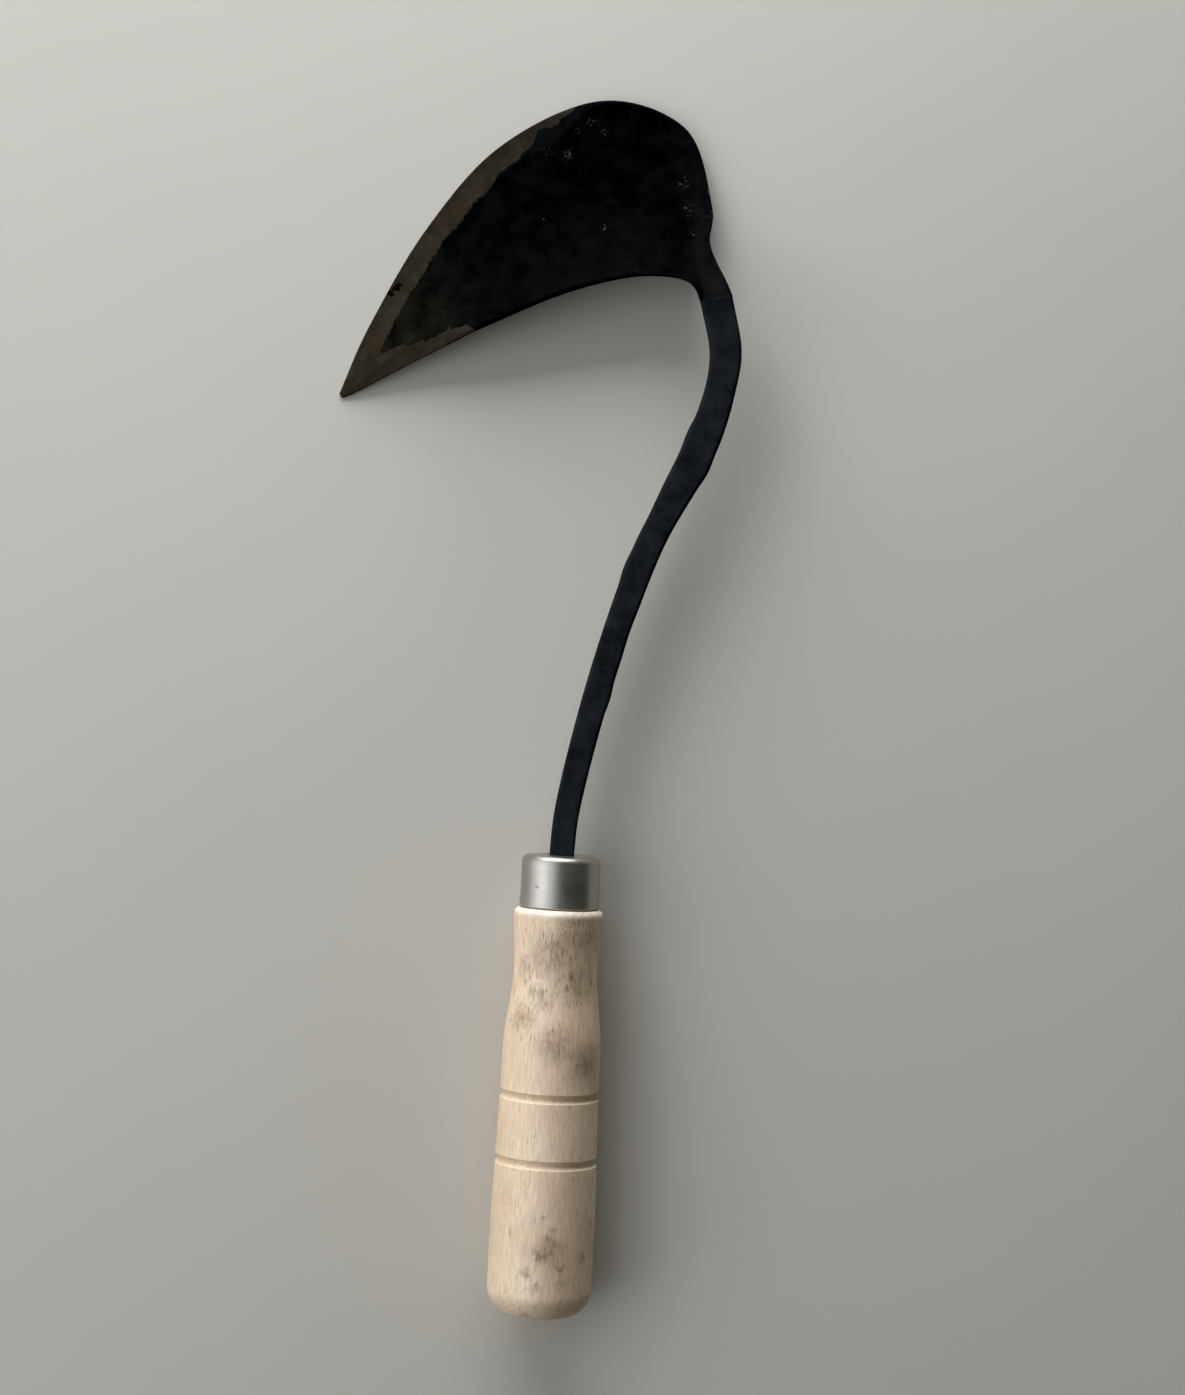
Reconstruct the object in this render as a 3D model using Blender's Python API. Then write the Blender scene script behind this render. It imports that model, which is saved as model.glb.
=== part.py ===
"""Short-handled hand hoe: a forged blade, neck and tang in a turned handle with a ferrule.

The hoe lies on a surface as it is put down: handle along Y, blade up at +Y with its point to -X,
and its ground face up. Lengths are in metres.
"""

import bpy
import bmesh
from math import cos, pi, radians, sin
from mathutils import Vector

# Handle, measured along its axis from the butt or down from the shoulder under the ferrule
HANDLE_LENGTH = 0.1108
GRIP_RADIUS = 0.0143
GRIP_FULLEST = 0.0195
FLARE_RADIUS = 0.0134
FLARE_BELOW_SHOULDER = 0.0385
WAIST_RADIUS = 0.0115
WAIST_BELOW_SHOULDER = 0.0170
SHOULDER_STEP = 0.0013
SHOULDER_ROUNDING = 0.0016
BUTT_ROUNDING = 0.0072
GROOVE_PLACES = (0.0424, 0.0602)
GROOVE_WIDTH = 0.0023
GROOVE_DEPTH = 0.0008

# Ferrule: a drawn cap over the handle's spigot
FERRULE_RADIUS = 0.0109
FERRULE_LENGTH = 0.0142
FERRULE_WALL = 0.0008
FERRULE_ROUNDING = 0.0019

# Tang: a square taper driven into the handle
TANG_LENGTH = 0.080
TANG_END = 0.0035

# Neck
NECK_LENGTH = 0.1532
NECK_OFFSET = 0.0372
NECK_WIDTH = 0.0067
NECK_ROOT_WIDTH = 0.0085
NECK_THICKNESS = 0.0065
NECK_SWELLING = 0.0012
SWELLING_PLACE = 0.28
SWELLING_REACH = 0.15
NECK_CHAMFER = 0.0012

# Blade
BLADE_LENGTH = 0.101
BLADE_WIDTH = 0.0855
BLADE_HEIGHT = 0.0180
BLADE_THICKNESS = 0.0022
DISH_DEPTH = 0.0033
EDGE_THICKNESS = 0.0005
EDGE_BREAK = 0.0005
OUTER_BEVEL = 0.0076
INNER_BEVEL = 0.0042
TIP_WIDTH = 0.0014
TIP_HEIGHT_SHARE = 0.065
TIP_DIRECTION = (-0.5, 0.87, 0)

# Where along the stations, from the point at 0 to the neck at 1, the blade changes: start and reach
ROOT_STARTS, ROOT_REACH = 0.8, 0.2
OUTER_GROUND_ENDS, OUTER_GROUND_FADE = 0.5, 0.1
INNER_GROUND_ENDS, INNER_GROUND_FADE = 0.17, 0.16
UPRIGHT_STARTS, UPRIGHT_REACH = 0.66, 0.26
HEEL_FAN = 1.4
DEEPEST_DISH = 1.7
BEVEL_ROOM = 0.6
ROOT_FLATNESS = 0.7

CLEARANCE = 0.0003
ROUND_STEPS = 40

# The neck's centre line from ferrule to blade: shares of its offset from the handle's axis and its length
NECK_LINE = [(0.0, 0.0), (0.044, 0.114), (0.235, 0.33), (0.503, 0.547), (0.831, 0.722),
             (0.965, 0.825), (1.0, 0.91), (0.917, 1.0)]

# The blade's two edges, each from the point to the neck: shares of its length, width and height
OUTER_EDGE = [(0.07, 0.232, 0.07), (0.215, 0.557, 0.11), (0.407, 0.835, 0.15), (0.675, 0.997, 0.16),
              (0.91, 0.923, 0.15), (1.0, 0.672, 0.28), (0.998, 0.53, 0.56)]
INNER_EDGE = [(0.222, 0.136, 0.39), (0.415, 0.243, 0.67), (0.607, 0.344, 0.88), (0.788, 0.405, 0.955),
              (0.923, 0.402, 1.0)]
# Where the middle of the neck's root comes on the same shares
ROOT_PLACE = (1.014, 0.347)

BLADE_STATIONS = 34
NECK_STATIONS = 26
TANG_STATIONS = 4
FACE_POINTS = 11


def ease(share):
    """Smooth step from 0 to 1."""
    share = min(max(share, 0.0), 1.0)
    return share * share * (3 - 2 * share)


def blend(start, end, share):
    return start + (end - start) * share


def smooth_line(guides, before, after, steps=12):
    """Points of a smooth curve through the guides; before and after aim its two ends."""
    knots = [before] + guides + [after]
    line = []
    for a, b, c, d in zip(knots, knots[1:], knots[2:], knots[3:]):
        for step in range(steps):
            t = step / steps
            line.append(0.5 * (2 * b + (c - a) * t + (2 * a - 5 * b + 4 * c - d) * t ** 2
                               + (3 * b - a - 3 * c + d) * t ** 3))
    return line + [guides[-1]]


def point_at(line, share):
    """The point at a share of a line's length."""
    spans = [(b - a).length for a, b in zip(line, line[1:])]
    left = share * sum(spans)
    for a, b, span in zip(line, line[1:], spans):
        if left <= span:
            return a.lerp(b, left / span)
        left -= span
    return line[-1].copy()


def new_object(name, mesh_maker, material, at=(0, 0, 0)):
    """An object from a bmesh that mesh_maker fills, placed under the hoe's empty."""
    bm = bmesh.new()
    mesh_maker(bm)
    bmesh.ops.recalc_face_normals(bm, faces=bm.faces)
    mesh = bpy.data.meshes.new(name)
    bm.to_mesh(mesh)
    bm.free()
    mesh.shade_smooth()
    mesh.set_sharp_from_angle(angle=radians(35))
    if material:
        mesh.materials.append(material)
    obj = bpy.data.objects.new(name, mesh)
    obj.location = at
    bpy.context.scene.collection.objects.link(obj)
    return obj


def finish(name, color, roughness, metallic):
    """A plain surface finish."""
    material = bpy.data.materials.new(name)
    material.use_nodes = True
    shader = material.node_tree.nodes["Principled BSDF"]
    shader.inputs["Base Color"].default_value = (*color, 1)
    shader.inputs["Roughness"].default_value = roughness
    shader.inputs["Metallic"].default_value = metallic
    return material


def cut(obj, cutter):
    """Cut a hidden cutter out of an object."""
    cutter.hide_render = True
    cutter.display_type = "WIRE"
    boolean = obj.modifiers.new("cut", "BOOLEAN")
    boolean.operation = "DIFFERENCE"
    boolean.solver = "EXACT"
    boolean.object = cutter


# Heights above the surface, and places along the handle's axis

AXIS_HEIGHT = GRIP_RADIUS
FERRULE_MOUTH = HANDLE_LENGTH + CLEARANCE
FERRULE_TOP = FERRULE_MOUTH + FERRULE_LENGTH
SPIGOT_RADIUS = FERRULE_RADIUS - FERRULE_WALL - CLEARANCE
SPIGOT_END = FERRULE_TOP - FERRULE_WALL - CLEARANCE
SHOULDER_RADIUS = FERRULE_RADIUS + SHOULDER_STEP


def neck_point(offset, length):
    """A point of the neck's centre line, which climbs from the ferrule to the blade's inner edge."""
    height = blend(AXIS_HEIGHT, BLADE_HEIGHT, ease(length))
    return Vector((offset * NECK_OFFSET, FERRULE_TOP + length * NECK_LENGTH, height))


def neck_station(line, share):
    """Left and right edges of the neck at a share of its length, from the root to the ferrule."""
    place = point_at(line, share)
    ahead = point_at(line, min(share + 0.01, 1.0)) - point_at(line, max(share - 0.01, 0.0))
    side = Vector((-ahead.y, ahead.x, 0)).normalized()
    swelling = NECK_SWELLING * ease(1 - abs(share - SWELLING_PLACE) / SWELLING_REACH)
    half = (blend(NECK_ROOT_WIDTH, NECK_WIDTH, share) + swelling) / 2
    return place - side * half, place + side * half


def blade_point(length, width, height):
    """A point on the blade's own shares, with the neck's root as its fixed place."""
    root = neck_point(*NECK_LINE[-1])
    return Vector((root.x + (length - ROOT_PLACE[0]) * BLADE_LENGTH,
                   root.y + (width - ROOT_PLACE[1]) * BLADE_WIDTH, height * BLADE_HEIGHT))


def across(left, right, left_inset, right_inset, sag):
    """Points of one station's middle surface from edge to edge, dished down by sag."""
    width = (right - left).length
    first, last = left_inset / width, 1 - right_inset / width
    shares = [0.0] + [blend(first, last, i / (FACE_POINTS - 3)) for i in range(FACE_POINTS - 2)] + [1.0]
    return shares, [left.lerp(right, u) - Vector((0, 0, 4 * sag * u * (1 - u))) for u in shares]


def blade_rows(inner, outer):
    """Stations that fan from the blade's point round its heel, up to the neck's root.

    Each holds its middle points, its front and back heights over them, and how upright those stand.
    """
    rows = []
    for i in range(BLADE_STATIONS):
        t = i / BLADE_STATIONS
        left, right = point_at(inner, 1 - (1 - t) ** HEEL_FAN), point_at(outer, t)
        width = (right - left).length
        root = ease((t - ROOT_STARTS) / ROOT_REACH)
        ground = 1 - ease((t - OUTER_GROUND_ENDS) / OUTER_GROUND_FADE)
        inner_ground = 1 - ease((t - INNER_GROUND_ENDS) / INNER_GROUND_FADE)
        right_inset = blend(blend(EDGE_BREAK, OUTER_BEVEL, ground), NECK_CHAMFER, root)
        left_inset = blend(blend(EDGE_BREAK, INNER_BEVEL, inner_ground), NECK_CHAMFER, root)
        room = min(1.0, BEVEL_ROOM * width / (left_inset + right_inset))
        sag = (left.z - right.z) / 4 * (1 - ROOT_FLATNESS * root) + DISH_DEPTH * sin(pi * t ** DEEPEST_DISH)
        shares, middle = across(left, right, left_inset * room, right_inset * room, sag)
        full = EDGE_THICKNESS + (BLADE_THICKNESS - EDGE_THICKNESS) * room
        thick = [blend(full, NECK_THICKNESS, root * (1 - u * (1 - root)) ** 2) for u in shares]
        front = [h - BLADE_THICKNESS / 2 for h in thick]
        back = [-BLADE_THICKNESS / 2 for h in thick]
        front = [blend(f, h / 2, root) for f, h in zip(front, thick)]
        back = [blend(b, -h / 2, root) for b, h in zip(back, thick)]
        for end, edge_ground in ((0, inner_ground), (-1, ground)):
            forged = thick[end] - EDGE_BREAK
            rim = blend(forged, EDGE_THICKNESS, edge_ground)
            front[end] = blend(back[end] + rim, thick[end] / 2 - NECK_CHAMFER, root)
            back[end] = blend(back[end], NECK_CHAMFER - thick[end] / 2, root)
        rows.append((middle, front, back, ease((t - UPRIGHT_STARTS) / UPRIGHT_REACH)))
    return rows


def bar_row(left, right, thickness):
    """One station of the neck or tang: a flat bar with chamfered corners."""
    chamfer = min(NECK_CHAMFER, 0.2 * (right - left).length)
    middle = across(left, right, chamfer, chamfer, 0.0)[1]
    front = [thickness / 2] * FACE_POINTS
    front[0] = front[-1] = thickness / 2 - chamfer
    return middle, front, [-height for height in front], 1.0


def tang_station(share):
    """Left and right edges of the tang, and its thickness, at a share of its length."""
    place = Vector((0, FERRULE_TOP - share * TANG_LENGTH, AXIS_HEIGHT))
    half = Vector((blend(NECK_WIDTH, TANG_END, share) / 2, 0, 0))
    return place - half, place + half, blend(NECK_THICKNESS, TANG_END, share)


def forged_rows():
    """Every station of the forging, from the blade's point to the tang's end."""
    guides = [neck_point(*shares) for shares in reversed(NECK_LINE)]
    beyond_root = 2 * guides[0] - guides[1]
    below_ferrule = guides[-1] - Vector((0, 0.02, 0))
    neck = smooth_line(guides, beyond_root, below_ferrule)
    root_left, root_right = neck_station(neck, 0.0)
    next_left, next_right = neck_station(neck, 0.08)
    tip = blade_point(0.0, 0.0, TIP_HEIGHT_SHARE)
    half_tip = Vector(TIP_DIRECTION) * TIP_WIDTH / 2
    inner_guides = [tip - half_tip] + [blade_point(*shares) for shares in INNER_EDGE] + [root_left]
    outer_guides = [tip + half_tip] + [blade_point(*shares) for shares in OUTER_EDGE] + [root_right]
    inner = smooth_line(inner_guides, 2 * inner_guides[0] - inner_guides[1], next_left)
    outer = smooth_line(outer_guides, 2 * outer_guides[0] - outer_guides[1], next_right)
    rows = blade_rows(inner, outer)
    for i in range(NECK_STATIONS):
        share = i / NECK_STATIONS
        rows.append(bar_row(*neck_station(neck, share), NECK_THICKNESS))
    for i in range(TANG_STATIONS + 1):
        rows.append(bar_row(*tang_station(i / TANG_STATIONS)))
    return rows


def forging(bm):
    """Loft the forging: a closed ring of points at each station, bridged to the next."""
    rows = forged_rows()
    rings = []
    for i, (middle, front, back, upright) in enumerate(rows):
        earlier, later = rows[max(i - 1, 0)][0], rows[min(i + 1, len(rows) - 1)][0]
        ring_top, ring_under = [], []
        for k, place in enumerate(middle):
            sideways = middle[min(k + 1, FACE_POINTS - 1)] - middle[max(k - 1, 0)]
            normal = (later[k] - earlier[k]).cross(sideways).normalized()
            normal = normal.lerp(Vector((0, 0, 1)), upright)
            ring_top.append(bm.verts.new(place + normal * front[k]))
            ring_under.append(bm.verts.new(place + normal * back[k]))
        ring = ring_top + ring_under[::-1]
        edges = [bm.edges.new((a, b)) for a, b in zip(ring, ring[1:] + ring[:1])]
        rings.append((ring, edges))
    for (_, one), (_, other) in zip(rings, rings[1:]):
        bmesh.ops.bridge_loops(bm, edges=one + other)
    for ring, _ in (rings[0], rings[-1]):
        bm.faces.new(ring)


def arc(centre, radius, start, end, steps):
    """Points (along the axis, out from it) on an arc; angles in degrees from straight out."""
    angles = [radians(blend(start, end, i / steps)) for i in range(steps + 1)]
    return [(centre[0] + radius * sin(a), centre[1] + radius * cos(a)) for a in angles]


def turned(profile):
    """A maker for the solid that a profile sweeps round the Y axis; the profile's ends lie on the axis."""
    def make(bm):
        verts = [bm.verts.new((out, along, 0)) for along, out in profile]
        edges = [bm.edges.new(pair) for pair in zip(verts, verts[1:])]
        bmesh.ops.spin(bm, geom=verts + edges, cent=(0, 0, 0), axis=(0, 1, 0), angle=2 * pi,
                       steps=ROUND_STEPS, use_merge=True)
        bmesh.ops.remove_doubles(bm, verts=bm.verts, dist=1e-6)
    return make


def grip_radius(along):
    """The handle's radius at a distance from its butt, without its grooves."""
    marks = [(0.0, GRIP_RADIUS), (GRIP_FULLEST, GRIP_RADIUS),
             (HANDLE_LENGTH - FLARE_BELOW_SHOULDER, FLARE_RADIUS),
             (HANDLE_LENGTH - WAIST_BELOW_SHOULDER, WAIST_RADIUS), (HANDLE_LENGTH, SHOULDER_RADIUS)]
    for (start, r_start), (end, r_end) in zip(marks, marks[1:]):
        if along <= end:
            return blend(r_start, r_end, ease((along - start) / (end - start)))
    return SHOULDER_RADIUS


def groove(centre):
    """Profile points of one turned groove, a shallow round-bottomed cut."""
    surface = grip_radius(centre)
    shares = [i / 6 for i in range(7)]
    return [(centre + (u - 0.5) * GROOVE_WIDTH, surface - GROOVE_DEPTH * sin(pi * u)) for u in shares]


def handle_profile():
    """The turned handle from butt to spigot end."""
    points = [(0.0, 0.0)]
    points += arc((BUTT_ROUNDING, GRIP_RADIUS - BUTT_ROUNDING), BUTT_ROUNDING, -90, 0, 7)
    stop = HANDLE_LENGTH - SHOULDER_ROUNDING
    bounds = [BUTT_ROUNDING] + list(GROOVE_PLACES) + [stop]
    for start, end in zip(bounds, bounds[1:]):
        count = max(2, round((end - start) / 0.0045))
        places = [blend(start, end, i / count) for i in range(1, count)]
        points += [(place, grip_radius(place)) for place in places]
        if end != stop:
            points += groove(end)
    points += arc((stop, grip_radius(stop) - SHOULDER_ROUNDING), SHOULDER_ROUNDING, 0, 90, 4)
    points.append((HANDLE_LENGTH, SPIGOT_RADIUS))
    corner = FERRULE_ROUNDING - FERRULE_WALL - CLEARANCE
    points += arc((SPIGOT_END - corner, SPIGOT_RADIUS - corner), corner, 0, 90, 3)
    return points + [(SPIGOT_END, 0.0)]


def ferrule_profile():
    """The ferrule from inside its top, round its mouth, to its outside; the tang's hole is cut later."""
    inner_rounding = FERRULE_ROUNDING - FERRULE_WALL
    corner = (FERRULE_LENGTH - FERRULE_ROUNDING, FERRULE_RADIUS - FERRULE_ROUNDING)
    points = [(FERRULE_LENGTH - FERRULE_WALL, 0.0)]
    points += arc(corner, inner_rounding, 90, 0, 4)
    points += [(0.0, FERRULE_RADIUS - FERRULE_WALL), (0.0, FERRULE_RADIUS)]
    points += arc(corner, FERRULE_ROUNDING, 0, 90, 6)
    return points + [(FERRULE_LENGTH, 0.0)]


def tang_cutter(clearance, reach):
    """A maker for the tang's hole: the tang's square taper, wider by the clearance all round."""
    def make(bm):
        bmesh.ops.create_cube(bm, size=1.0)
        for vert in bm.verts:
            share = 1 + clearance / TANG_LENGTH if vert.co.y < 0 else -reach / TANG_LENGTH
            left, right, thickness = tang_station(share)
            width = (right - left).length + 2 * clearance
            vert.co = Vector((vert.co.x * width, left.y, vert.co.z * (thickness + 2 * clearance)))
    return make


def clear_scene():
    for obj in list(bpy.data.objects):
        bpy.data.objects.remove(obj, do_unlink=True)


def build():
    clear_scene()
    scale = finish("black forge scale", (0.012, 0.014, 0.017), 0.5, 0.35)
    stainless = finish("stainless steel", (0.52, 0.50, 0.48), 0.3, 1.0)
    wood = finish("bare turned wood", (0.62, 0.50, 0.38), 0.7, 0.0)
    head = new_object("forged_head", forging, scale)
    ferrule = new_object("ferrule", turned(ferrule_profile()), stainless, (0, FERRULE_MOUTH, AXIS_HEIGHT))
    handle = new_object("handle", turned(handle_profile()), wood, (0, 0, AXIS_HEIGHT))
    hole = new_object("tang_hole", tang_cutter(CLEARANCE, FERRULE_WALL), None, (0, 0, AXIS_HEIGHT))
    cut(ferrule, hole)
    cut(handle, hole)
    place([head, ferrule, handle, hole], [head, ferrule, handle])


def place(objects, solids):
    """Hang everything on one empty, with the middle of the hoe's base at the origin."""
    bpy.context.view_layer.update()
    corners = [obj.matrix_world @ vert.co for obj in solids for vert in obj.data.vertices]
    low = Vector([min(corner[i] for corner in corners) for i in range(3)])
    high = Vector([max(corner[i] for corner in corners) for i in range(3)])
    hoe = bpy.data.objects.new("hand_hoe", None)
    bpy.context.scene.collection.objects.link(hoe)
    for obj in objects:
        obj.parent = hoe
    hoe.location = (-(low.x + high.x) / 2, -(low.y + high.y) / 2, -low.z)


build()
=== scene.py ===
"""Looks of a short-handled hand hoe: its forged head, drawn ferrule and turned handle, on a pale surface.

One operator makes each piece and one makes the stage. Lengths are in metres unless a name says mm.
"""

from math import atan2, cos, hypot, pi, radians, sin

import bmesh
import bpy
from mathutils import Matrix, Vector, noise


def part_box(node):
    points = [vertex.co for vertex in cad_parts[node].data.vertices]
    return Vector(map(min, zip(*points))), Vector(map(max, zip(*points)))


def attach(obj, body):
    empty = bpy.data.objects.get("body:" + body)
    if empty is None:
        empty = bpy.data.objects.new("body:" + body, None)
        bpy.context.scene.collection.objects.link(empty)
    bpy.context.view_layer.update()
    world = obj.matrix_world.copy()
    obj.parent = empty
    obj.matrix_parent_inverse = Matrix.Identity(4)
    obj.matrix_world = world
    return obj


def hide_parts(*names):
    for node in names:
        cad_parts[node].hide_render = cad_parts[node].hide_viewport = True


bl_info = {
    "name": "Hand Hoe",
    "version": (1, 0, 0),
    "blender": (4, 5, 0),
    "location": "View3D > Sidebar > Hand Hoe",
    "description": "Makes the finished pieces of a forged hand hoe around its fixed frame",
    "category": "Object",
}

MM = 0.001
# Points nearer than this are one point, and edges that turn by fewer degrees than this are smooth
WELD = 0.001 * MM
SMOOTH_UP_TO = 40

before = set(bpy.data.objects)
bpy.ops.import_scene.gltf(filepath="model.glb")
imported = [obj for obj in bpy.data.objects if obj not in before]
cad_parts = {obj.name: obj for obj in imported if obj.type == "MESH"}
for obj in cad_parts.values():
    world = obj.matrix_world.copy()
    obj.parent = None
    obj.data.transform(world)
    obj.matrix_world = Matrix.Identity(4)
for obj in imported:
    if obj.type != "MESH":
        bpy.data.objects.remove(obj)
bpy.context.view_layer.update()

# Places that the frame gives: the handle's axis, its butt, the shoulder under the ferrule and the ferrule
HANDLE_LOW, HANDLE_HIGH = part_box("handle")
FERRULE_LOW, FERRULE_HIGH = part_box("ferrule")
HEAD_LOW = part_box("forged_head")[0]
AXIS = Vector(((HANDLE_LOW.x + HANDLE_HIGH.x) / 2, 0.0, (HANDLE_LOW.z + HANDLE_HIGH.z) / 2))
BUTT = HANDLE_LOW.y
GRIP_RADIUS = (HANDLE_HIGH.x - HANDLE_LOW.x) / 2
FERRULE_RADIUS = (FERRULE_HIGH.x - FERRULE_LOW.x) / 2
CLEARANCE = 0.3 * MM
SHOULDER = FERRULE_LOW.y - CLEARANCE

# The tang and the square hole that takes it
TANG_LENGTH = 80 * MM
TANG_END = 3.5 * MM

# Neck
NECK_LENGTH = 153.2 * MM
NECK_OFFSET = 37.2 * MM
NECK_WIDTH = 6.7 * MM
NECK_ROOT_WIDTH = 8.5 * MM
NECK_THICKNESS = 6.5 * MM
NECK_CHAMFER = 1.2 * MM
NECK_SWELLING = 1.2 * MM
SWELLING_PLACE, SWELLING_REACH = 0.28, 0.15

# Hammer kinks of the neck: share of its length, side (1 left, -1 right), swelling and reach
NECK_KINKS = [(0.246, 1, 0.38 * MM, 0.040), (0.295, -1, 0.34 * MM, 0.034), (0.497, 1, 0.36 * MM, 0.038),
              (0.60, -1, -0.22 * MM, 0.055), (0.719, -1, 0.32 * MM, 0.034), (0.40, 1, -0.20 * MM, 0.06),
              (0.10, -1, 0.20 * MM, 0.05)]
# The neck's corners are hammered round, but tighter than the frame's chamfer
NECK_CORNER = 0.6 * MM
NECK_CORNER_REACH = 1.5 * NECK_CORNER
CORNER_ROUNDNESS = 1.7
# How much of the neck's blue-black scale its root has, and the share of its length in which the rest sets in
NECK_TINT_AT_ROOT, NECK_TINT_REACH = 0.5, 0.035
# Shares of the neck's length: how far ahead its direction is read, and where the blade's edges aim
NECK_LOOK_AHEAD, NECK_AIM = 0.01, 0.08
STRAIGHT_BELOW_FERRULE = 20 * MM

# Blade
BLADE_LENGTH = 101 * MM
BLADE_WIDTH = 85.5 * MM
BLADE_HEIGHT = 18.0 * MM
BLADE_THICKNESS = 2.2 * MM
DISH_DEPTH = 3.3 * MM
EDGE_THICKNESS = 0.5 * MM
EDGE_BREAK = 0.5 * MM
EDGE_BREAK_REACH = 1.6 * EDGE_BREAK
OUTER_BEVEL = 7.6 * MM
INNER_BEVEL = 4.2 * MM
TIP_WIDTH = 1.4 * MM
TIP_HEIGHT_SHARE = 0.065
TIP_DIRECTION = (-0.5, 0.87, 0)
ROOT_STARTS, ROOT_REACH = 0.8, 0.2
OUTER_GROUND_ENDS, OUTER_GROUND_FADE = 0.5, 0.1
INNER_GROUND_ENDS, INNER_GROUND_FADE = 0.17, 0.16
UPRIGHT_STARTS, UPRIGHT_REACH = 0.66, 0.26
HEEL_FAN = 1.4
DEEPEST_DISH = 1.7
BEVEL_ROOM = 0.6
ROOT_FLATNESS = 0.7
UNDER_REACH = 6.0 * MM
UNDER_FALL = 0.72

# Hammer marks: the reach and the depth of each kind of hollow, which fade out near an edge
BLADE_HOLLOWS = ((11 * MM, 0.16 * MM), (4 * MM, 0.04 * MM))
BLADE_BACK_HOLLOWS = ((11 * MM, 0.10 * MM),)
NECK_HOLLOWS = ((8 * MM, 0.22 * MM), (3 * MM, 0.05 * MM))
NECK_BACK_HOLLOWS = ((8 * MM, 0.18 * MM),)
HOLLOWS_FADE = 3 * MM
# How far off the underside reads its hollows, so that they don't lie under those of the front
BACK_SHIFT = Vector((0, 0, 50 * MM))

# The neck's centre line from ferrule to blade, and the blade's edges from its point to the neck: the frame's
# guides, as shares of offset and length, and of length, width and height, with the heel drawn in by 0.7 mm
NECK_LINE = [(0.0, 0.0), (0.044, 0.114), (0.235, 0.33), (0.503, 0.547), (0.831, 0.722),
             (0.965, 0.825), (1.0, 0.91), (0.917, 1.0)]
OUTER_EDGE = [(0.07, 0.232, 0.07), (0.215, 0.557, 0.11), (0.407, 0.835, 0.15), (0.675, 0.997, 0.16),
              (0.91, 0.923, 0.15), (0.993, 0.672, 0.28), (0.993, 0.53, 0.56)]
INNER_EDGE = [(0.222, 0.136, 0.39), (0.415, 0.243, 0.67), (0.607, 0.344, 0.88), (0.788, 0.405, 0.955),
              (0.923, 0.402, 1.0)]
ROOT_PLACE = (1.014, 0.347)

# How far the wheel has bared each edge, in mm: distance from the point along the edge, width of bare steel
OUTER_GRIND_MM = [(0, 9.0), (18, 8.0), (29, 7.9), (38, 7.7), (44, 8.7), (52, 7.6), (59, 7.6), (65.5, 8.6),
                  (70, 7.6), (74, 8.6), (81, 6.8), (87, 6.1), (92.5, 5.0), (94, 3.0), (95, 1.7), (97, 2.7),
                  (99, 3.1), (103, 1.6), (106, 0.4), (109, -1.0)]
INNER_GRIND_MM = [(0, 5.5), (18.5, 5.2), (21.5, 4.8), (25.5, 3.8), (30, 3.0), (36, 3.1), (38, 2.8),
                  (40.5, 2.1), (42, 1.0), (44, -0.6)]
# The widest bare rim that the underside shows, and what the neck and the tang have: none
BACK_RIM_MM, NO_BARE_MM = 0.25, -5.0
# What the head's mesh tells its material: the distance inside the bare steel, places from the point and from
# the edge, and the share of the neck's scale
HEAD_MARKS = ("bare_mm", "along_mm", "across_mm", "neck")

# Fineness of the meshes
BLADE_STATIONS = 200
NECK_STATIONS = 190
TANG_STATIONS = 6
HOLE_STATIONS = 8
ROUND_STEPS = 192
# Distances in from each edge, in mm, where the head's mesh has a line of points; the rest is spread evenly
EDGE_LINES_MM = [0.0, 0.12, 0.3, 0.55, 0.9, 1.4, 2.1, 2.9, 3.7, 4.5, 5.3, 6.1, 6.9, 7.5, 8.1, 8.9]
BETWEEN_LINES = 30
# The most of a station's width that either edge's lines take
LINES_ROOM = 0.42


def linear(hex_colour):
    """An sRGB hex colour as linear red, green, blue and alpha."""
    parts = [int(hex_colour[i:i + 2], 16) / 255 for i in (1, 3, 5)]
    return tuple(p / 12.92 if p <= 0.04045 else ((p + 0.055) / 1.055) ** 2.4 for p in parts) + (1.0,)


def colour_property(name, description, hex_colour):
    """A colour setting whose default is an sRGB hex colour."""
    return bpy.props.FloatVectorProperty(name=name, description=description, subtype="COLOR", size=4,
                                         min=0.0, max=1.0, default=linear(hex_colour))


def ease(share):
    """Smooth step from 0 to 1."""
    share = min(max(share, 0.0), 1.0)
    return share * share * (3 - 2 * share)


def blend(start, end, share):
    """The value at a share of the way from start to end."""
    return start + (end - start) * share


def read_off(table, place):
    """The value at a place in a list of (place, value), straight between its entries."""
    for (start, first), (end, second) in zip(table, table[1:]):
        if place <= end:
            return blend(first, second, max(0.0, (place - start) / (end - start)))
    return table[-1][1]


def smooth_line(guides, before, after, steps=48):
    """Points of a smooth curve through the guides; before and after aim its two ends."""
    knots = [before] + guides + [after]
    line = []
    for a, b, c, d in zip(knots, knots[1:], knots[2:], knots[3:]):
        for step in range(steps):
            t = step / steps
            line.append(0.5 * (2 * b + (c - a) * t + (2 * a - 5 * b + 4 * c - d) * t ** 2
                               + (3 * b - a - 3 * c + d) * t ** 3))
    return line + [guides[-1]]


class Rule:
    """A line that is read by its share of length, with the distances along it worked out once."""

    def __init__(self, line):
        self.line = line
        self.marks = [0.0]
        for a, b in zip(line, line[1:]):
            self.marks.append(self.marks[-1] + (b - a).length)
        self.length = self.marks[-1]

    def at(self, share):
        """The point at a share of the line's length."""
        place = min(max(share, 0.0), 1.0) * self.length
        low, high = 0, len(self.marks) - 1
        while high - low > 1:
            middle = (low + high) // 2
            low, high = (middle, high) if self.marks[middle] <= place else (low, middle)
        span = self.marks[high] - self.marks[low]
        return self.line[low].lerp(self.line[high], (place - self.marks[low]) / span)


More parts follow.
